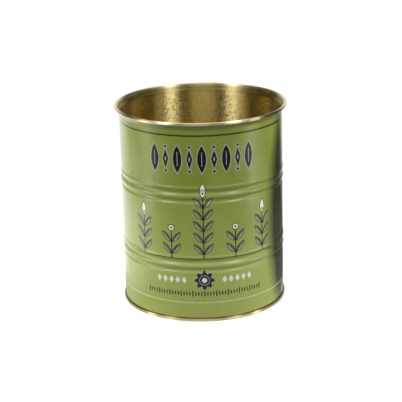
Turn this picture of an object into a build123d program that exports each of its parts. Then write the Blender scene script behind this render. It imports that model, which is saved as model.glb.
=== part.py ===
from build123d import *

import os
from math import acos, cos, degrees, radians, sin

# Open-topped printed storage tin. The body is one rolled and welded sheet, the base is a
# pressed end that is double seamed onto it, and a bead of sealing compound lies in the seam.
# Millimetres, +Z up, origin at the middle of the ring that the tin stands on.

# The whole tin
tin_height = 158.0
body_diameter = 127.0

# Body sheet: the wall, its flared mouth and the outward curl that makes the edge safe
body_sheet = 0.28
flare_step = 1.5
flare_radius = 3.0
curl_diameter = 2.5
curl_turn = 300.0

# Rolled beads, in two groups; a step is measured from the plain wall
bead_groove_depth = 0.9
bead_crest_height = 0.5
bead_radius = 2.4
beads_in_group = 2
bead_group_starts = (38.5, 93.9)

# Welded side seam at +X, between the two fronts, where the two edges of the sheet overlap
weld_width = 1.0
weld_thickness = 0.40
weld_margin = 1.5

# Double seam that locks the base end onto the body
seam_height = 3.1
seam_layer_gap = 0.10
seam_foot_radius = 0.34
body_hook_length = 1.35
end_hook_length = 1.45

# Base end: a pressed disc with a countersink and two stamped rings, and flats outside the rings
end_sheet = 0.28
countersink_depth = 4.2
countersink_radius = 0.9
countersink_land = 3.0
panel_drop = 0.8
panel_bend_radius = 1.2
ring_depth = 0.6
ring_width = 5.0
flats_outside_rings = (13.8, 5.1)

# Sealing compound, flowed into the top fold of the seam; its crown is half of a polygon
compound_clearance = 0.04
compound_crown_sides = 6

# Radii of the seam's five layers, from the body wall outwards and inwards
wall_middle = body_diameter / 2 - body_sheet / 2
layer_step = body_sheet / 2 + seam_layer_gap + end_sheet / 2
chuck_wall_middle = wall_middle - layer_step
end_hook_middle = wall_middle + layer_step
body_hook_middle = end_hook_middle + layer_step
seaming_wall_middle = body_hook_middle + layer_step
body_fold_radius = (body_hook_middle - wall_middle) / 2
end_fold_radius = (seaming_wall_middle - end_hook_middle) / 2
body_fold_height = end_sheet + seam_layer_gap + body_sheet / 2 + body_fold_radius
end_fold_height = seam_height - end_sheet / 2 - end_fold_radius

OUTWARDS = 0.0
UPWARDS = 90.0
DOWNWARDS = -90.0
QUARTER_TURN = 90.0
HALF_TURN = 180.0


def joggle_turn(step, radius):
    """Angle of each of the two bends that move a sheet sideways by this step."""
    return degrees(acos(1 - abs(step) / (2 * radius)))


def joggle_length(step, radius):
    """How far such a pair of bends reaches along the way ahead."""
    return 2 * radius * sin(radians(joggle_turn(step, radius)))


class SheetSection:
    """Section through a formed sheet, drawn along its middle: x is the radius, y the height."""

    def __init__(self, radius, height, heading, sheet):
        self.middle = Vector(radius, height)
        self.heading = heading
        self.half_sheet = sheet / 2
        self.left_face = []
        self.right_face = []

    def ahead(self):
        return Vector(cos(radians(self.heading)), sin(radians(self.heading)))

    def face_point(self, offset):
        ahead = self.ahead()
        return self.middle + Vector(-ahead.Y, ahead.X) * offset

    def run(self, length):
        """Carry on straight for this length."""
        step = self.ahead() * length
        for face, offset in ((self.left_face, self.half_sheet), (self.right_face, -self.half_sheet)):
            start = self.face_point(offset)
            face.append(Line(start, start + step))
        self.middle += step

    def run_to_height(self, height):
        self.run(abs(height - self.middle.Y))

    def run_to_radius(self, radius):
        self.run(abs(radius - self.middle.X))

    def bend(self, radius, turn):
        """Bend to this middle radius; a positive turn is to the left of the way ahead."""
        ahead = self.ahead()
        side = 1 if turn > 0 else -1
        for face, offset in ((self.left_face, self.half_sheet), (self.right_face, -self.half_sheet)):
            face.append(JernArc(self.face_point(offset), ahead, radius - side * offset, turn))
        self.middle = JernArc(self.middle, ahead, radius, turn) @ 1
        self.heading += turn

    def joggle(self, step, radius):
        """Move the sheet sideways by two equal and opposite bends; a positive step is to the left."""
        turn = joggle_turn(step, radius)
        if step < 0:
            turn = -turn
        self.bend(radius, turn)
        self.bend(radius, -turn)

    def revolve_about_z(self, arc=360.0):
        start_cap = Line(self.left_face[0] @ 0, self.right_face[0] @ 0)
        end_cap = Line(self.left_face[-1] @ 1, self.right_face[-1] @ 1)
        outline = make_face(self.left_face + self.right_face + [start_cap, end_cap])
        return revolve(Plane.XZ * outline, Axis.Z, arc)


def form_bead_group(section):
    """Roll one group of beads on the way up the wall: a groove, then a crest, for each bead."""
    swing = bead_groove_depth + bead_crest_height
    section.joggle(bead_groove_depth, bead_radius)
    for bead in range(beads_in_group):
        if bead > 0:
            section.joggle(swing, bead_radius)
        section.joggle(-swing, bead_radius)
    section.joggle(bead_crest_height, bead_radius)


def form_wall(section):
    """Carry the wall up through both bead groups."""
    for start in bead_group_starts:
        section.run_to_height(start)
        form_bead_group(section)


def make_tin_body():
    """Wall with its bottom hook, beads, flare and curl, and the weld down its side."""
    curl_radius = (curl_diameter - body_sheet) / 2
    curl_height = tin_height - curl_diameter / 2
    flare_start = curl_height - curl_diameter / 2 - joggle_length(flare_step, flare_radius)

    sheet = SheetSection(body_hook_middle, body_fold_height + body_hook_length, DOWNWARDS, body_sheet)
    sheet.run(body_hook_length)
    sheet.bend(body_fold_radius, -HALF_TURN)
    form_wall(sheet)
    sheet.run_to_height(flare_start)
    sheet.joggle(-flare_step, flare_radius)
    sheet.run_to_height(curl_height)
    sheet.bend(curl_radius, -curl_turn)
    shell = sheet.revolve_about_z()

    weld = SheetSection(wall_middle, seam_height + weld_margin, UPWARDS, weld_thickness)
    form_wall(weld)
    weld.run_to_height(flare_start - weld_margin)
    weld_arc = degrees(weld_width / wall_middle)
    strip = weld.revolve_about_z(weld_arc).rotate(Axis.Z, -weld_arc / 2)
    return shell + strip


def make_base_end():
    """Pressed end: ringed panel, countersink, chuck wall, and the outer half of the double seam."""
    ring_reach = ring_width + 2 * joggle_length(ring_depth, panel_bend_radius)
    rim_reach = joggle_length(panel_drop, panel_bend_radius) + countersink_land + countersink_radius
    rings_reach = len(flats_outside_rings) * ring_reach + sum(flats_outside_rings)

    sheet = SheetSection(0, countersink_depth - panel_drop, OUTWARDS, end_sheet)
    sheet.run(chuck_wall_middle - rim_reach - rings_reach)
    for flat in flats_outside_rings:
        sheet.joggle(-ring_depth, panel_bend_radius)
        sheet.run(ring_width)
        sheet.joggle(ring_depth, panel_bend_radius)
        sheet.run(flat)
    sheet.joggle(panel_drop, panel_bend_radius)
    sheet.run(countersink_land)
    sheet.bend(countersink_radius, -QUARTER_TURN)
    sheet.run_to_height(end_sheet / 2 + seam_foot_radius)
    sheet.bend(seam_foot_radius, QUARTER_TURN)
    sheet.run_to_radius(seaming_wall_middle - seam_foot_radius)
    sheet.bend(seam_foot_radius, QUARTER_TURN)
    sheet.run_to_height(end_fold_height)
    sheet.bend(end_fold_radius, HALF_TURN)
    sheet.run(end_hook_length)
    return sheet.revolve_about_z()


def make_sealing_compound():
    """Ring of compound between the tip of the body hook and the fold of the end above it."""
    half_width = end_fold_radius - end_sheet / 2 - compound_clearance
    hook_tip = body_fold_height + body_hook_length
    depth = end_fold_height - hook_tip - compound_clearance
    above_fold = Rectangle(2 * half_width, half_width, align=(Align.CENTER, Align.MIN))
    crown = RegularPolygon(half_width, compound_crown_sides) & above_fold
    root = Rectangle(2 * half_width, depth, align=(Align.CENTER, Align.MAX))
    return revolve(Plane.XZ * Pos(body_hook_middle, end_fold_height) * (crown + root), Axis.Z)


os.makedirs("parts", exist_ok=True)
export_step(make_tin_body(), "parts/tin_body.step")
export_step(make_base_end(), "parts/base_end.step")
export_step(make_sealing_compound(), "parts/sealing_compound.step")
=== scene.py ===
from math import acos, cos, degrees, pi, radians, sin

import bpy
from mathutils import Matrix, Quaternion, Vector


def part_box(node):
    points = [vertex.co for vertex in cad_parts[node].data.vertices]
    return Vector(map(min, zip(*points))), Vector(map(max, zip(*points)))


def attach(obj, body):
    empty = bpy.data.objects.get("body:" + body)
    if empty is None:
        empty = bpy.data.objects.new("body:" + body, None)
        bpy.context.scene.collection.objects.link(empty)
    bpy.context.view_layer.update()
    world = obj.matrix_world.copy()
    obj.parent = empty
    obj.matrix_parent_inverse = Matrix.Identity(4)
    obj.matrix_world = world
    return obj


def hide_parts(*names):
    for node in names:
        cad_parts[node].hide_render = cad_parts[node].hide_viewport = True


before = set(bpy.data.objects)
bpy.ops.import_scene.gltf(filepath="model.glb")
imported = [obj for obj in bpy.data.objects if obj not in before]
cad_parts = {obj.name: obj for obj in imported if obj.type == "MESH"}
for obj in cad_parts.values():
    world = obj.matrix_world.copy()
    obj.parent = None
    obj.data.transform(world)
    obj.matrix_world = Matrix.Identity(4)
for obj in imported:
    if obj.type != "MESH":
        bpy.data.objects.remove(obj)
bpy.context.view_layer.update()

# Camera
# It stands about a metre away and looks down at 18 degrees. It is turned a little about its own
# axis, as in the photograph.
camera_distance = 1.125
camera_elevation = radians(17.91)
camera_roll = radians(-1.39)
aim_height = 0.0768
aim_side = -0.00132
orbit_height = 0.075
focal_pixels = 1413
picture_pixels = 402
film_width = 36

bpy.ops.object.camera_add(location=(
    0,
    -camera_distance * cos(camera_elevation),
    orbit_height + camera_distance * sin(camera_elevation),
))
camera = bpy.context.object
camera.name = "camera"
camera.data.sensor_width = film_width
camera.data.lens = film_width * focal_pixels / picture_pixels
towards_tin = Vector((aim_side, 0, aim_height)) - camera.location
camera.rotation_mode = "QUATERNION"
camera.rotation_quaternion = (
    towards_tin.to_track_quat("-Z", "Y") @ Quaternion((0, 0, 1), camera_roll)
)
bpy.context.scene.camera = camera
bpy.context.scene.view_settings.view_transform = "Standard"

# Tin body
# One sheet of 0.28 mm tinplate, printed outside and gold lacquered inside. It is rolled and
# welded down one side, beaded and flared. Its foot is folded up inside the base seam, and its
# mouth is rolled outwards into a hollow curl, so the gold side shows on the curl.
body_sheet = 0.28
end_sheet = 0.28
seam_gap = 0.10
layer_step = body_sheet / 2 + seam_gap + end_sheet / 2
flare_step = 1.5
flare_bend = 3.0
curl_width = 2.5
curl_turn = 300
curl_radius = (curl_width - body_sheet) / 2
rim_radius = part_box("tin_body")[1].x * 1000
tin_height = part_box("tin_body")[1].z * 1000
wall_middle = rim_radius - curl_width / 2 - curl_radius - flare_step
wall_radius = wall_middle + body_sheet / 2
body_hook_middle = wall_middle + 2 * layer_step
fold_height = end_sheet + seam_gap + body_sheet / 2 + layer_step
hook_length = 1.35
bead_bend = 2.4
groove_depth = 0.9
crest_height = 0.5
bead_group_starts = (38.5, 93.9)
flare_reach = 2 * flare_bend * sin(acos(1 - flare_step / (2 * flare_bend)))
flare_start = tin_height - curl_width - flare_reach
columns = 256
smooth_angle = radians(35)


# Lacquer and ink are worked out from where a point lies on the tin, so numbers that vary over
# the surface are written as ordinary sums.
class Field:
    """A number or colour that varies over a surface. Arithmetic on fields adds their nodes."""

    def __init__(self, tree, socket):
        self.tree = tree
        self.socket = socket

    def node(self, kind, inputs, output=0, **settings):
        """Any node: its type, its inputs as numbers or fields, its output and its settings."""
        made = self.tree.nodes.new(kind)
        for name, value in settings.items():
            setattr(made, name, value)
        for name, value in inputs.items():
            if isinstance(value, Field):
                self.tree.links.new(value.socket, made.inputs[name])
            else:
                made.inputs[name].default_value = value
        return Field(self.tree, made.outputs[output])

    def math(self, operation, *values, clamp=False):
        numbered = dict(enumerate((self, *values)))
        return self.node("ShaderNodeMath", numbered, operation=operation, use_clamp=clamp)

    def __add__(self, other):
        return self.math("ADD", other)

    def __sub__(self, other):
        return self.math("SUBTRACT", other)

    def __rsub__(self, other):
        return self.math("MULTIPLY_ADD", -1.0, other)

    def __mul__(self, other):
        return self.math("MULTIPLY", other)

    def __truediv__(self, other):
        return self.math("DIVIDE", other)

    def __abs__(self):
        return self.math("ABSOLUTE")

    __radd__ = __add__
    __rmul__ = __mul__


def start_material(name):
    """A new material: its shader, and the place on the tin as three fields in millimetres."""
    material = bpy.data.materials.new(name)
    material.use_nodes = True
    tree = material.node_tree
    shader = tree.nodes["Principled BSDF"]
    coordinates = tree.nodes.new("ShaderNodeTexCoord")
    place = Field(tree, coordinates.outputs["Object"])
    place = place.node("ShaderNodeVectorMath", {0: place, "Scale": 1000.0}, operation="SCALE")
    across, depth, height = (
        place.node("ShaderNodeSeparateXYZ", {0: place}, output=axis) for axis in range(3)
    )
    return material, shader, place, across, depth, height


def feed(field, shader, socket):
    field.tree.links.new(field.socket, shader.inputs[socket])


def painted(ground, mask, ink):
    """The ground colour with ink on it where the mask is 1."""
    return mask.node(
        "ShaderNodeMix",
        {"Factor": mask, 6: ground, 7: ink},
        output=2,
        data_type="RGBA",
        clamp_factor=True,
    )


def speckle(place, spacing, detail=2.0, stretch=(1, 1, 1)):
    """Noise from 0 to 1 whose grains lie about this many millimetres apart."""
    stretched = place.node("ShaderNodeMapping", {"Vector": place, "Scale": stretch})
    return place.node(
        "ShaderNodeTexNoise", {"Vector": stretched, "Scale": 1 / spacing, "Detail": detail}
    )


def rising(value, start, length):
    """0 up to the start, then growing evenly to 1 over this length."""
    return value.math("MULTIPLY_ADD", 1 / length, -start / length, clamp=True)


def inside_band(value, middle, half_width, softness):
    """1 near a middle value, falling to 0 over the softness at each side."""
    return (abs(value - middle) - half_width).math("MULTIPLY_ADD", -1 / softness, 0.5, clamp=True)


def raised(height_field, depth_mm, shader):
    """Feed a height of this many millimetres to the shader's normal."""
    bump = height_field.node(
        "ShaderNodeBump", {"Strength": 1.0, "Distance": depth_mm / 1000, "Height": height_field}
    )
    feed(bump, shader, "Normal")


# The gold lacquer is clear and lies on bright tinplate. It lines the tin, wraps the curl and
# covers the base end. The sheet's rolled grain breaks up its shine on the wall inside. The curl
# and the seam are painted paler, a painted highlight; the crease along the top of the seam and
# the flare inside are painted darker, a painted shade.
gold_colour = (0.69, 0.55, 0.20, 1)
deep_gold_colour = (0.61, 0.48, 0.15, 1)
highlight_and_frost_gold_colour = (0.88, 0.77, 0.45, 1)
shaded_gold_colour = (0.17, 0.13, 0.04, 1)
gold_roughness = 0.34
worked_roughness = 0.11
grain_roughness = 0.35
grain_spacing = 1.5
grain_depth = 0.09
tone_spacing = 14.0


def make_gold_lacquer():
    curl_foot, curl_fade = 155 + 1 / 3, 2 / 3
    seam_top, seam_fade = 3.0, 2 / 3
    ledge_height, ledge_half_height, ledge_softness = 2.75, 0.45, 0.4
    flare_height, flare_half_height, flare_softness = 153.2, 1.7, 1.0
    lining_height, lining_half_height, lining_softness = 77.3, 74.0, 0.4
    worked_height = 151.5
    seam_highlight = 0.5
    flare_shade = 0.4
    frost_start, frost_length, frosting = 0.02, 0.2, 0.25

    material, shader, place, _, _, height = start_material("gold_lacquer")
    tone = speckle(place, tone_spacing, detail=3.0)
    colour = painted(gold_colour, tone, deep_gold_colour)
    # The curl and the foot of the seam are painted paler, a painted highlight; the same pale
    # colour also lightens the frosted grains of the lining.
    curl = rising(height, curl_foot, curl_fade)
    seam = (1 - rising(height, seam_top, seam_fade)) * seam_highlight
    colour = painted(colour, curl.math("MAXIMUM", seam), highlight_and_frost_gold_colour)
    # Painted shade in the crease along the top of the seam.
    crease_shade = inside_band(height, ledge_height, ledge_half_height, ledge_softness)
    colour = painted(colour, crease_shade, shaded_gold_colour)
    # Painted shade on the flare inside, under the curl.
    flare = inside_band(height, flare_height, flare_half_height, flare_softness)
    colour = painted(colour, flare * flare_shade, shaded_gold_colour)
    lining = inside_band(height, lining_height, lining_half_height, lining_softness)
    grain = (speckle(place, grain_spacing, detail=0.0) - 0.5) * lining
    frosted = rising(grain, frost_start, frost_length)
    feed(painted(colour, frosted * frosting, highlight_and_frost_gold_colour), shader, "Base Color")
    worked_mouth = rising(height, worked_height, 1.0)
    roughness = grain * grain_roughness + worked_mouth * worked_roughness + gold_roughness
    feed(roughness, shader, "Roughness")
    raised(grain, grain_depth, shader)
    shader.inputs["Metallic"].default_value = 1.0
    shader.inputs["Anisotropic"].default_value = 1.0
    shader.inputs["Anisotropic Rotation"].default_value = 0.25
    return material


gold_lacquer = make_gold_lacquer()

# The print is olive green and black litho ink under a gloss varnish. It has two like fronts, one
# each side: plain rings, a frieze of bold leaves, a garden of sprigs on a ground line, a rosette
# between cream lozenges, and a row of ticks.
green_ink = (0.224, 0.264, 0.034, 1)
pale_green_ink = (0.287, 0.326, 0.060, 1)
deep_green_ink = (0.176, 0.211, 0.024, 1)
bounce_lit_green_ink = (0.385, 0.445, 0.100, 1)
curl_shadow_ink = (0.120, 0.140, 0.018, 1)
black_ink = (0.006, 0.007, 0.004, 1)
line_ink = (0.016, 0.020, 0.003, 1)
straw_ink = (0.62, 0.62, 0.30, 1)
grey_ink = (0.36, 0.38, 0.30, 1)
shade_ink = (0.095, 0.115, 0.045, 1)
cream_ink = (0.78, 0.76, 0.62, 1)
spindle_ink = (0.026, 0.032, 0.010, 1)
bare_tin = (0.60, 0.59, 0.56, 1)
ink_edge = 0.14
ink_roughness = 0.5
tin_roughness = 0.3
varnish_roughness = 0.30
bare_margin_width = 4.6


def inside_of(distance):
    """1 where a distance in millimetres is below zero, with a soft printed edge."""
    return distance.math("MULTIPLY_ADD", -1 / ink_edge, 0.5, clamp=True)


def stroke(distance, width):
    """A line of this width along the edge of a shape."""
    return inside_of(abs(distance) - width / 2)


def within(value, low, high):
    """1 between two places."""
    return stroke(value - (low + high) / 2, high - low)


def square_root(value):
    return value.math("SQRT")


def leaf_shape(across, along, half_width, half_length):
    """Distance from a leaf with two pointed tips."""
    bow = (half_length ** 2 + half_width ** 2) / (2 * half_width)
    out = abs(across) + (bow - half_width)
    return square_root(out * out + along * along) - bow


def lozenge_shape(across, along, half_width, half_length):
    """Distance from a lozenge."""
    slant = (half_width ** 2 + half_length ** 2) ** 0.5
    side = abs(across) * (half_length / slant) + abs(along) * (half_width / slant)
    return side - half_width * half_length / slant


def round_shape(across, along, radius):
    """Distance from a round dot."""
    return square_root(across * across + along * along) - radius


def repeat(value, pitch):
    """Number of the nearest copy and the place within it, for copies this far apart."""
    number = (value / pitch).math("ROUND")
    return number, value - number * pitch


def is_odd(number):
    """1 for odd numbers and 0 for even ones."""
    return abs(number).math("MODULO", 2.0)


def print_rings(colour, height):
    """Thin plain rings near the mouth and near the base."""
    top_ring_height, top_ring_width = 147.5, 1.2
    base_ring_height, base_ring_width = 15.25, 0.7
    colour = painted(colour, stroke(height - top_ring_height, top_ring_width), line_ink)
    return painted(colour, stroke(height - base_ring_height, base_ring_width), straw_ink)


def print_frieze(colour, along, height):
    """Bold upright leaves and slim lozenges in turn, black with a pale keyline."""
    middle_height = 129.4
    pitch = 9.3
    leaves_each_side = 4
    leaf_half_width, leaf_half_length = 3.3, 10.4
    lozenge_half_width, lozenge_half_length = 2.3, 7.4
    dot_rise, dot_radius = 9.4, 1.0
    keyline = 0.75
    rib_width, rib_length = 0.56, 11.0
    heart_inset = 1.5
    reach = (leaves_each_side + 0.5) * pitch
    number, across = repeat(along, pitch)
    rise = height - middle_height
    slim = is_odd(number)
    leaf = leaf_shape(across, rise, leaf_half_width, leaf_half_length)
    lozenge = lozenge_shape(across, rise, lozenge_half_width, lozenge_half_length)
    dots = round_shape(across, abs(rise) - dot_rise, dot_radius)
    pair = lozenge.math("MINIMUM", dots)
    shape = leaf + (pair - leaf) * slim
    frieze = within(along, -reach, reach)
    colour = painted(colour, inside_of(shape - keyline) * frieze, grey_ink)
    colour = painted(colour, inside_of(shape) * frieze, black_ink)
    rib = stroke(across, rib_width) * stroke(rise, rib_length) * (1 - slim)
    heart = inside_of(lozenge + heart_inset) * slim
    return painted(colour, (rib + heart) * frieze, grey_ink)


def print_garden(colour, along, height):
    """Sprigs of paired leaves on a ground line, the tallest in the middle."""
    ground_height = 51.0
    ground_width, ground_inset = 0.7, 2.0
    pitch = 25.0
    sprigs_each_side = 2
    tall, middling, short = 49.0, 30.6, 21.4
    stem_width, bare_stem, stem_gap = 0.9, 3.0, 0.5
    leaf_pitch = 9.2
    lean = radians(40)
    leaf_half_length, leaf_half_width = 5.3, 1.75
    vein_offset = 0.15
    leaf_outline, head_outline = 0.55, 0.6
    bud_rise, bud_radius, eye_radius = 2.6, 2.5, 0.8
    flower_rise, flower_half_width, flower_half_length = 5.0, 2.3, 5.6
    reach = (sprigs_each_side + 0.5) * pitch
    number, across = repeat(along, pitch)
    short_one = is_odd(number)
    outer_one = (abs(number) - 1.0).math("MAXIMUM", 0.0)
    top = short_one * (short - tall) + outer_one * (middling - tall) + tall
    rise = height - ground_height
    garden = within(along, -reach, reach)

    tier = ((rise - bare_stem) / leaf_pitch).math("FLOOR")
    in_tier = rise - bare_stem - tier * leaf_pitch
    out = abs(across) - (leaf_half_length * sin(lean) + stem_gap)
    up = in_tier - leaf_pitch / 2
    leaf_along = out * sin(lean) + up * cos(lean)
    leaf_across = out * cos(lean) - up * sin(lean)
    leaf = leaf_shape(leaf_across, leaf_along, leaf_half_width, leaf_half_length)
    on_stem = inside_of(rise - top) * inside_of(bare_stem - rise)
    leaf_area = inside_of(leaf) * on_stem * garden
    colour = painted(colour, leaf_area, shade_ink)
    lit_side = inside_of(leaf_across * -1 + vein_offset)
    colour = painted(colour, leaf_area * lit_side, grey_ink)
    colour = painted(colour, stroke(leaf, leaf_outline) * on_stem * garden, black_ink)

    stem = stroke(across, stem_width) * inside_of(rise - top) * inside_of(rise * -1)
    colour = painted(colour, stem * garden, black_ink)

    bud = round_shape(across, rise - top - bud_rise, bud_radius)
    flower = leaf_shape(across, rise - top - flower_rise, flower_half_width, flower_half_length)
    head = flower + (bud - flower) * short_one
    eye = round_shape(across, rise - top - bud_rise, eye_radius)
    colour = painted(colour, inside_of(head) * garden, cream_ink)
    colour = painted(colour, stroke(head, head_outline) * garden, black_ink)
    colour = painted(colour, inside_of(eye) * garden, line_ink)

    ground_end = reach - ground_inset
    ground = stroke(rise, ground_width) * within(along, -ground_end, ground_end)
    return painted(colour, ground, line_ink)


def print_rosette_row(colour, along, height):
    """A dark rosette in the middle, with a row of cream lozenges on each side."""
    middle_height = 33.5
    petals, petal_reach, petal_depth = 8.0, 6.6, 1.2
    keyline = 0.6
    eye_ring_radius, eye_ring_width, eye_radius = 3.9, 0.5, 2.0
    lozenge_pitch, lozenge_half_width, lozenge_half_length = 5.2, 1.9, 2.9
    row_start, row_end = 13.0, 39.0
    rise = height - middle_height
    reach = square_root(along * along + rise * rise)
    bearing = rise.math("ARCTAN2", along)
    scallop = (bearing * petals).math("COSINE")
    rosette = reach - petal_reach - scallop * petal_depth
    colour = painted(colour, inside_of(rosette - keyline), grey_ink)
    colour = painted(colour, inside_of(rosette), black_ink)
    colour = painted(colour, stroke(reach - eye_ring_radius, eye_ring_width), grey_ink)
    colour = painted(colour, inside_of(reach - eye_radius), cream_ink)
    _, across = repeat(along, lozenge_pitch)
    lozenge = lozenge_shape(across, rise, lozenge_half_width, lozenge_half_length)
    row = within(abs(along), row_start, row_end)
    return painted(colour, inside_of(lozenge) * row, cream_ink)


def print_ticks(colour, along, height):
    """A row of short black ticks, every fourth one taller."""
    row_height, row_end = 22.6, 47.15
    pitch, tick_width = 2.3, 1.0
    half_height, taller = 1.5, 0.8
    number, across = repeat(along, pitch)
    place_in_four = number.math("FLOORED_MODULO", 4.0)
    fourth = place_in_four.math("COMPARE", 0.0, 0.5)
    rise = abs(height - row_height) - (fourth * taller + half_height)
    tick = stroke(across, tick_width) * inside_of(rise)
    return painted(colour, tick * within(along, -row_end, row_end), line_ink)


def print_spindle(colour, along, height):
    """A tall dark spindle between the two fronts, sprayed on with a soft edge."""
    middle_along, middle_height = 78.5, 71.0
    half_width, half_length = 19.5, 84.0
    edge, end_fade, strength = 14.0, 6.0, 0.97
    front_end = pi / 2 * wall_radius
    spindle = leaf_shape(along - middle_along, height - middle_height, half_width, half_length)
    shade = 1 - rising(spindle, -edge / 2, edge)
    shade = shade * ((front_end - along) / end_fade).math("MINIMUM", 1.0)
    return painted(colour, shade * strength, spindle_ink)


def make_printed_ink():
    wash_spacing, wash_start, wash_length = 30.0, 0.95 / 2.4, 1 / 2.4
    streak_spacing, streak_start, streak_length = 9.0, 0.46875, 0.625
    foot_top, foot_fade, foot_strength = 42.0, 70.0, 0.7
    curl_shadow_height, curl_shadow_strength = 151.0, 0.5
    peel_spacing, peel_depth = 3.5, 0.004

    material, shader, place, across, depth, height = start_material("printed_ink")
    bearing = across.math("ARCTAN2", depth * -1)
    front = bearing.math("WRAP", pi / 2, -pi / 2)
    along = front * wall_radius

    wash = speckle(place, wash_spacing, detail=3.0, stretch=(1, 1, 0.6))
    colour = painted(green_ink, rising(wash, wash_start, wash_length), pale_green_ink)
    streak = speckle(place, streak_spacing, detail=3.0, stretch=(1, 1, 0.4))
    colour = painted(colour, rising(streak, streak_start, streak_length), deep_green_ink)
    # The lower wall is painted paler towards the foot, painted light from the table below.
    painted_bounce_light = 1 - rising(height, foot_top, foot_fade)
    colour = painted(colour, painted_bounce_light * foot_strength, bounce_lit_green_ink)
    # A painted shadow under the curl, along the top of the wall.
    curl_shadow = rising(height, curl_shadow_height, 1.0)
    colour = painted(colour, curl_shadow * curl_shadow_strength, curl_shadow_ink)
    colour = print_spindle(colour, along, height)
    colour = print_rings(colour, height)
    colour = print_frieze(colour, along, height)
    colour = print_garden(colour, along, height)
    colour = print_rosette_row(colour, along, height)
    colour = print_ticks(colour, along, height)
    bare_margin = stroke(depth, bare_margin_width) * inside_of(across * -1)
    feed(painted(colour, bare_margin, bare_tin), shader, "Base Color")
    feed(bare_margin, shader, "Metallic")
    feed(bare_margin * (tin_roughness - ink_roughness) + ink_roughness, shader, "Roughness")
    raised(speckle(place, peel_spacing), peel_depth, shader)
    shader.inputs["Specular IOR Level"].default_value = 0.1
    shader.inputs["Coat Weight"].default_value = 1.0
    shader.inputs["Coat Roughness"].default_value = varnish_roughness
    return material


printed_ink = make_printed_ink()


# The sheet is bent round the tin's axis. Its line is followed in millimetres from one edge to
# the other, and rings of the line become rings of the mesh.
class SheetLine:
    """The middle of a bent sheet as stations of radius, height and heading."""

    def __init__(self, radius, height, heading):
        self.radius = radius
        self.height = height
        self.heading = heading
        self.stations = [(radius, height, heading)]

    def run(self, length, steps=1):
        for _ in range(steps):
            self.radius += cos(radians(self.heading)) * length / steps
            self.height += sin(radians(self.heading)) * length / steps
            self.stations.append((self.radius, self.height, self.heading))

    def bend(self, radius, turn, steps):
        """Follow an arc; a positive turn is to the left."""
        chord = 2 * radius * sin(radians(abs(turn)) / steps / 2)
        for _ in range(steps):
            self.heading += turn / steps / 2
            self.radius += cos(radians(self.heading)) * chord
            self.height += sin(radians(self.heading)) * chord
            self.heading += turn / steps / 2
            self.stations.append((self.radius, self.height, self.heading))

    def joggle(self, step, radius, steps):
        """Move sideways by two equal and opposite bends; a positive step is to the left."""
        turn = degrees(acos(1 - abs(step) / (2 * radius)))
        if step < 0:
            turn = -turn
        self.bend(radius, turn, steps)
        self.bend(radius, -turn, steps)

    def face(self, offset):
        """Rings of one face of the sheet, this far to the left of its middle, in metres."""
        rings = []
        for radius, height, heading in self.stations:
            rings.append((
                (radius - sin(radians(heading)) * offset) / 1000,
                (height + cos(radians(heading)) * offset) / 1000,
            ))
        return rings


def turn_sheet(name, rings, columns, fill="NOTHING"):
    """A mesh of revolution: a circle at the first ring, drawn out from ring to ring."""
    bpy.ops.object.select_all(action="DESELECT")
    first_radius, first_height = rings[0]
    bpy.ops.mesh.primitive_circle_add(
        vertices=columns, radius=first_radius, fill_type=fill, location=(0, 0, first_height)
    )
    piece = bpy.context.object
    piece.name = name
    bpy.ops.object.transform_apply(location=True, rotation=True, scale=True)
    bpy.ops.object.mode_set(mode="EDIT")
    bpy.ops.mesh.select_mode(type="EDGE")
    if fill != "NOTHING":
        bpy.ops.mesh.region_to_loop()
    radius, height = first_radius, first_height
    for next_radius, next_height in rings[1:]:
        bpy.ops.mesh.extrude_region_move(
            TRANSFORM_OT_translate={"value": (0, 0, next_height - height)}
        )
        growth = next_radius / radius
        bpy.ops.transform.resize(value=(growth, growth, 1))
        radius, height = next_radius, next_height
    bpy.ops.object.mode_set(mode="OBJECT")
    return piece


def thicken_sheet(piece, thickness, other_side_slot=0, offset=-1):
    """Give the sheet its thickness, on the far side of its drawn face unless told otherwise."""
    solidify = piece.modifiers.new("sheet thickness", "SOLIDIFY")
    solidify.thickness = thickness / 1000
    solidify.offset = offset
    solidify.use_even_offset = True
    solidify.use_rim = True
    solidify.material_offset = other_side_slot
    solidify.material_offset_rim = other_side_slot
    bpy.ops.object.modifier_apply(modifier=solidify.name)


def face_outwards():
    """Turn all faces of the active mesh outwards."""
    bpy.ops.object.mode_set(mode="EDIT")
    bpy.ops.mesh.select_all(action="SELECT")
    bpy.ops.mesh.normals_make_consistent(inside=False)
    bpy.ops.object.mode_set(mode="OBJECT")


def follow_wall(line, top):
    """Carry a line up the wall, through both groups of beads, to this height."""
    swing = groove_depth + crest_height
    for group_start in bead_group_starts:
        line.run(group_start - line.height, steps=2)
        line.joggle(groove_depth, bead_bend, steps=3)
        line.joggle(-swing, bead_bend, steps=4)
        line.joggle(swing, bead_bend, steps=4)
        line.joggle(-swing, bead_bend, steps=4)
        line.joggle(crest_height, bead_bend, steps=3)
    line.run(top - line.height, steps=2)


body_line = SheetLine(body_hook_middle, fold_height + hook_length, -90)
body_line.run(hook_length)
body_line.bend(layer_step, -180, steps=8)
follow_wall(body_line, flare_start)
body_line.joggle(-flare_step, flare_bend, steps=5)
body_line.run(curl_width / 2)
body_line.bend(curl_radius, -curl_turn, steps=30)

tin_body = turn_sheet("printed_tin_body", body_line.face(-body_sheet / 2), columns)
tin_body.data.materials.append(printed_ink)
tin_body.data.materials.append(gold_lacquer)
thicken_sheet(tin_body, body_sheet, other_side_slot=1)
face_outwards()
bpy.ops.object.shade_smooth_by_angle(angle=smooth_angle)
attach(tin_body, "root")
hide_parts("tin_body")

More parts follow.
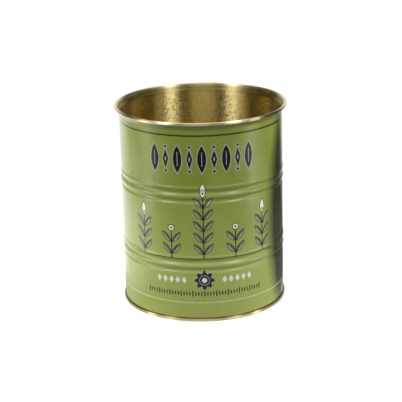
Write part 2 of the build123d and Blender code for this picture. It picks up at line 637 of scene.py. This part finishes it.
# Side weld
# The two edges of the body sheet overlap by a millimetre and are welded into one bright ridge
# that stands just proud of the wall. The print stops short of it on both sides.
weld_width = 1.0
weld_thickness = 0.40
weld_foot = 4.6
weld_clear_of_flare = 1.5
weld_colour = (0.50, 0.49, 0.47, 1)
burnt_weld_colour = (0.30, 0.29, 0.28, 1)
weld_roughness = 0.34
nugget_radians_per_mm = 5.2
nugget_height = 0.02
nugget_burn = 0.25
cloud_burn = 0.7
cloud_roughness = 0.2
weld_cloud_spacing = 1.5


def make_weld_steel():
    material, shader, place, _, _, height = start_material("weld_steel")
    nugget = (height * nugget_radians_per_mm).math("SINE")
    cloud = speckle(place, weld_cloud_spacing, detail=3.0)
    burnt = nugget * nugget_burn + cloud * cloud_burn
    feed(painted(weld_colour, burnt, burnt_weld_colour), shader, "Base Color")
    feed(cloud * cloud_roughness + weld_roughness, shader, "Roughness")
    raised(nugget, nugget_height, shader)
    shader.inputs["Metallic"].default_value = 1.0
    return material


weld_line = SheetLine(wall_middle, weld_foot, 90)
follow_wall(weld_line, flare_start - weld_clear_of_flare)
weld_rings = weld_line.face(0)
foot_radius, foot_height = weld_rings[0]
bpy.ops.object.select_all(action="DESELECT")
bpy.ops.mesh.primitive_plane_add(
    size=weld_width / 1000,
    location=(foot_radius, 0, foot_height + weld_width / 2000),
    rotation=(0, radians(90), 0),
)
side_weld = bpy.context.object
side_weld.name = "side_weld"
bpy.ops.object.transform_apply(location=True, rotation=True, scale=True)
for corner in side_weld.data.vertices:
    corner.select = corner.co.z > foot_height + weld_width / 2000
for edge in side_weld.data.edges:
    edge.select = all(side_weld.data.vertices[end].select for end in edge.vertices)
for face in side_weld.data.polygons:
    face.select = False
bpy.ops.object.mode_set(mode="EDIT")
radius, height = weld_rings[1]
bpy.ops.transform.translate(
    value=(radius - foot_radius, 0, height - foot_height - weld_width / 1000)
)
for next_radius, next_height in weld_rings[2:]:
    bpy.ops.mesh.extrude_region_move(
        TRANSFORM_OT_translate={"value": (next_radius - radius, 0, next_height - height)}
    )
    radius, height = next_radius, next_height
bpy.ops.object.mode_set(mode="OBJECT")
side_weld.data.materials.append(make_weld_steel())
side_weld.data.materials.append(gold_lacquer)
thicken_sheet(side_weld, weld_thickness, other_side_slot=1, offset=0)
face_outwards()
bpy.ops.object.shade_smooth_by_angle(angle=smooth_angle)
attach(side_weld, "root")
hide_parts("tin_body")

# Base end
# A pressed disc of gold-lacquered tinplate with two stamped rings and a countersink. Its edge is
# folded twice round the foot of the body, which makes the double seam the tin stands on.
seam_height = 3.1
foot_bend = 0.34
chuck_wall_middle = wall_middle - layer_step
seaming_wall_middle = body_hook_middle + layer_step
end_fold_height = seam_height - end_sheet / 2 - layer_step
end_hook_length = 1.45
panel_height = 3.4
panel_drop = 0.8
ring_depth = 0.6
ring_width = 5.0
panel_bend = 1.2
sink_bend = 0.9
sink_land = 3.0
flats_outside_rings = (13.8, 5.1)
hub_radius = 8.0
drop_reach = 2 * panel_bend * sin(acos(1 - panel_drop / (2 * panel_bend)))
ring_reach = ring_width + 4 * panel_bend * sin(acos(1 - ring_depth / (2 * panel_bend)))
sink_reach = drop_reach + sink_land + sink_bend
centre_radius = chuck_wall_middle - sink_reach - 2 * ring_reach - sum(flats_outside_rings)

end_line = SheetLine(hub_radius, panel_height, 0)
end_line.run(centre_radius - hub_radius)
for flat in flats_outside_rings:
    end_line.joggle(-ring_depth, panel_bend, steps=4)
    end_line.run(ring_width)
    end_line.joggle(ring_depth, panel_bend, steps=4)
    end_line.run(flat)
end_line.joggle(panel_drop, panel_bend, steps=4)
end_line.run(sink_land)
end_line.bend(sink_bend, -90, steps=8)
end_line.run(end_line.height - end_sheet / 2 - foot_bend)
end_line.bend(foot_bend, 90, steps=6)
end_line.run(seaming_wall_middle - foot_bend - end_line.radius)
end_line.bend(foot_bend, 90, steps=6)
end_line.run(end_fold_height - end_line.height)
end_line.bend(layer_step, 180, steps=10)
end_line.run(end_hook_length)

base_end = turn_sheet("seamed_base_end", end_line.face(-end_sheet / 2), columns, fill="TRIFAN")
base_end.data.materials.append(gold_lacquer)
face_outwards()
thicken_sheet(base_end, end_sheet)
face_outwards()
bpy.ops.object.shade_smooth_by_angle(angle=smooth_angle)
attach(base_end, "root")
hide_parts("base_end")

# Sealing compound
# A thin ring of cured rubber compound, flowed into the top fold of the seam before seaming. It
# is closed in by the seam, and its own solid is kept as it is.
compound_colour = (0.46, 0.42, 0.33, 1)
pale_compound_colour = (0.58, 0.54, 0.44, 1)
compound_roughness = 0.8
compound_cloud_spacing = 2.5
compound_ripple_depth = 0.01


def make_compound_rubber():
    material, shader, place, _, _, _ = start_material("compound_rubber")
    cloud = speckle(place, compound_cloud_spacing, detail=3.0)
    feed(painted(compound_colour, cloud, pale_compound_colour), shader, "Base Color")
    raised(cloud, compound_ripple_depth, shader)
    shader.inputs["Roughness"].default_value = compound_roughness
    return material


sealing_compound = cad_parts["sealing_compound"]
sealing_compound.data.materials.clear()
sealing_compound.data.materials.append(make_compound_rubber())


# Studio
# A white table and sweep, with a dark room in front of the tin. Soft panels stand low at each
# side for the wall, high at each side of the camera for the lining, and high behind for the mouth.
def add_panel(name, azimuth, elevation, distance, width, height, power, colour=(1, 1, 1)):
    """A soft panel lamp that faces the tin; azimuth 0 is the camera's side."""
    turned, lifted = radians(azimuth), radians(elevation)
    middle = Vector((0, 0, tin_height / 2000))
    way = Vector((sin(turned) * cos(lifted), -cos(turned) * cos(lifted), sin(lifted)))
    bpy.ops.object.light_add(type="AREA", location=middle + way * distance)
    lamp = bpy.context.object
    lamp.name = name
    lamp.data.shape = "RECTANGLE"
    lamp.data.size = width
    lamp.data.size_y = height
    lamp.data.energy = power
    lamp.data.color = colour
    lamp.rotation_mode = "QUATERNION"
    lamp.rotation_quaternion = (-way).to_track_quat("-Z", "Y")


cool_white = (0.96, 1.0, 1.18)
add_panel("left_side_panel", -76, 0, 0.8, 0.18, 0.13, 1.1)
add_panel("right_side_panel", 72, 0, 0.8, 0.16, 0.13, 1.0)
add_panel("left_high_panel", -52, 35, 1.0, 0.22, 0.5, 3.5, cool_white)
add_panel("right_high_panel", 47, 35, 1.0, 0.22, 0.5, 3.5, cool_white)
add_panel("back_panel", 180, 68, 0.9, 0.6, 0.4, 2.1)


def bearing_from_front(across, depth):
    """Degrees round the tin from the camera's side, positive to the camera's right."""
    return across.math("ARCTAN2", depth * -1) * (180 / pi)


def ray_kind(tree, name):
    """1 for rays of this kind."""
    return Field(tree, tree.nodes.new("ShaderNodeLightPath").outputs[name])


# The table is white to the camera. Glowing white cards painted on it show only in the varnish and
# the gold, as painted reflections. Each has a strength, with a bearing in degrees, a reach in
# metres from the tin's middle, or both. Near the tin the table is painted lighter, a painted pool
# of light.
white = (1, 1, 1, 1)
dark_table_colour = (0.02, 0.02, 0.02, 1)
lit_table_colour = (0.25, 0.25, 0.25, 1)
table_size = 3.0
pool_start, pool_fade = 0.1848, 0.132
shadow_depth = 0.15
bpy.ops.object.select_all(action="DESELECT")
bpy.ops.mesh.primitive_plane_add(size=table_size, location=(0, 0, 0))
table = bpy.context.object
table.name = "table"
table_material = bpy.data.materials.new("table_white")
table_material.use_nodes = True
table_tree = table_material.node_tree
table_shader = table_tree.nodes["Principled BSDF"]
table_shader.inputs["Roughness"].default_value = 0.9
table_shader.inputs["Specular IOR Level"].default_value = 0.0
table_shader.inputs["Emission Color"].default_value = white
spot = Field(table_tree, table_tree.nodes.new("ShaderNodeTexCoord").outputs["Object"])
reach = spot.node("ShaderNodeVectorMath", {0: spot}, output=1, operation="LENGTH")
sideways, backwards = (
    spot.node("ShaderNodeSeparateXYZ", {0: spot}, output=axis) for axis in range(2)
)
# A painted pool of light on the table round the tin; there it glows a little less to the camera,
# so the shadow shows.
pool = 1 - rising(reach, pool_start, pool_fade)
feed(painted(dark_table_colour, pool, lit_table_colour), table_shader, "Base Color")

bearing = bearing_from_front(sideways, backwards)
near_left_card = inside_band(bearing, -126, 56, 20) * inside_band(reach, 0.26, 0.17, 0.04)
near_left_card = near_left_card * (reach * 3.0 + 0.9)
far_left_card = inside_band(bearing, -140, 20, 8) * 1.5
left_card = inside_band(bearing, -78, 8, 6) * inside_band(reach, 0.58, 0.15, 0.06) * 0.5
right_card = inside_band(bearing, 70, 8, 6) * inside_band(reach, 0.48, 0.15, 0.06) * 1.2
front_card = inside_band(bearing, 0, 50, 20) * inside_band(reach, 0.18, 0.09, 0.06) * 0.3
foot_card = inside_band(reach, 0.0, 0.080, 0.010) * 0.5
back_card = inside_band(abs(bearing), 180, 32, 16) * rising(reach, 0.1625, 0.125) * 1.5
cards = near_left_card
for card in (far_left_card, left_card, right_card, front_card, foot_card, back_card):
    cards = cards.math("MAXIMUM", card)
to_camera = ray_kind(table_tree, "Is Camera Ray") * (1 - pool * shadow_depth)
to_gloss = ray_kind(table_tree, "Is Glossy Ray") * cards
feed(to_camera + to_gloss, table_shader, "Emission Strength")
table.data.materials.append(table_material)

# The world is white to the camera, and gives gloss a sweep behind the tin and windows round it.
# Its diffuse light comes mostly from the sides. Upwards is the sine of the elevation.
ambient = 0.16
room = 0.015
world = bpy.data.worlds.new("studio")
bpy.context.scene.world = world
world.use_nodes = True
world_tree = world.node_tree
background = world_tree.nodes["Background"]
background.inputs["Color"].default_value = white
direction = Field(world_tree, world_tree.nodes.new("ShaderNodeTexCoord").outputs["Generated"])
rightwards, backwards, upwards = (
    direction.node("ShaderNodeSeparateXYZ", {0: direction}, output=axis) for axis in range(3)
)
bearing = bearing_from_front(rightwards, backwards)
sweep = inside_band(abs(bearing), 180, 40, 20) * inside_band(upwards, 0.20, 0.24, 0.12)
overhead = rising(upwards, 0.6, 1 / 6) * 0.5
front_window = inside_band(bearing, -5, 18, 4) * 0.92
left_window = inside_band(bearing, -64, 6, 3) * 0.8
right_window = inside_band(bearing, 64, 4, 3) * 0.5
back_window = inside_band(bearing, 120, 18, 10) * 0.1
windows = front_window + left_window + right_window + back_window
window_height = inside_band(upwards, 0.48, 0.36, 0.1)
surroundings = sweep.math("MAXIMUM", overhead) + windows * window_height + room
side_glow = inside_band(abs(bearing), 95, 30, 30) * inside_band(upwards, 0.15, 0.35, 0.2) * 3.6
to_camera = ray_kind(world_tree, "Is Camera Ray")
to_camera = to_camera.math("MAXIMUM", ray_kind(world_tree, "Is Transmission Ray"))
to_gloss = ray_kind(world_tree, "Is Glossy Ray") * surroundings
to_diffuse = ray_kind(world_tree, "Is Diffuse Ray") * (side_glow + ambient)
feed(to_camera.math("MAXIMUM", to_gloss).math("MAXIMUM", to_diffuse), background, "Strength")
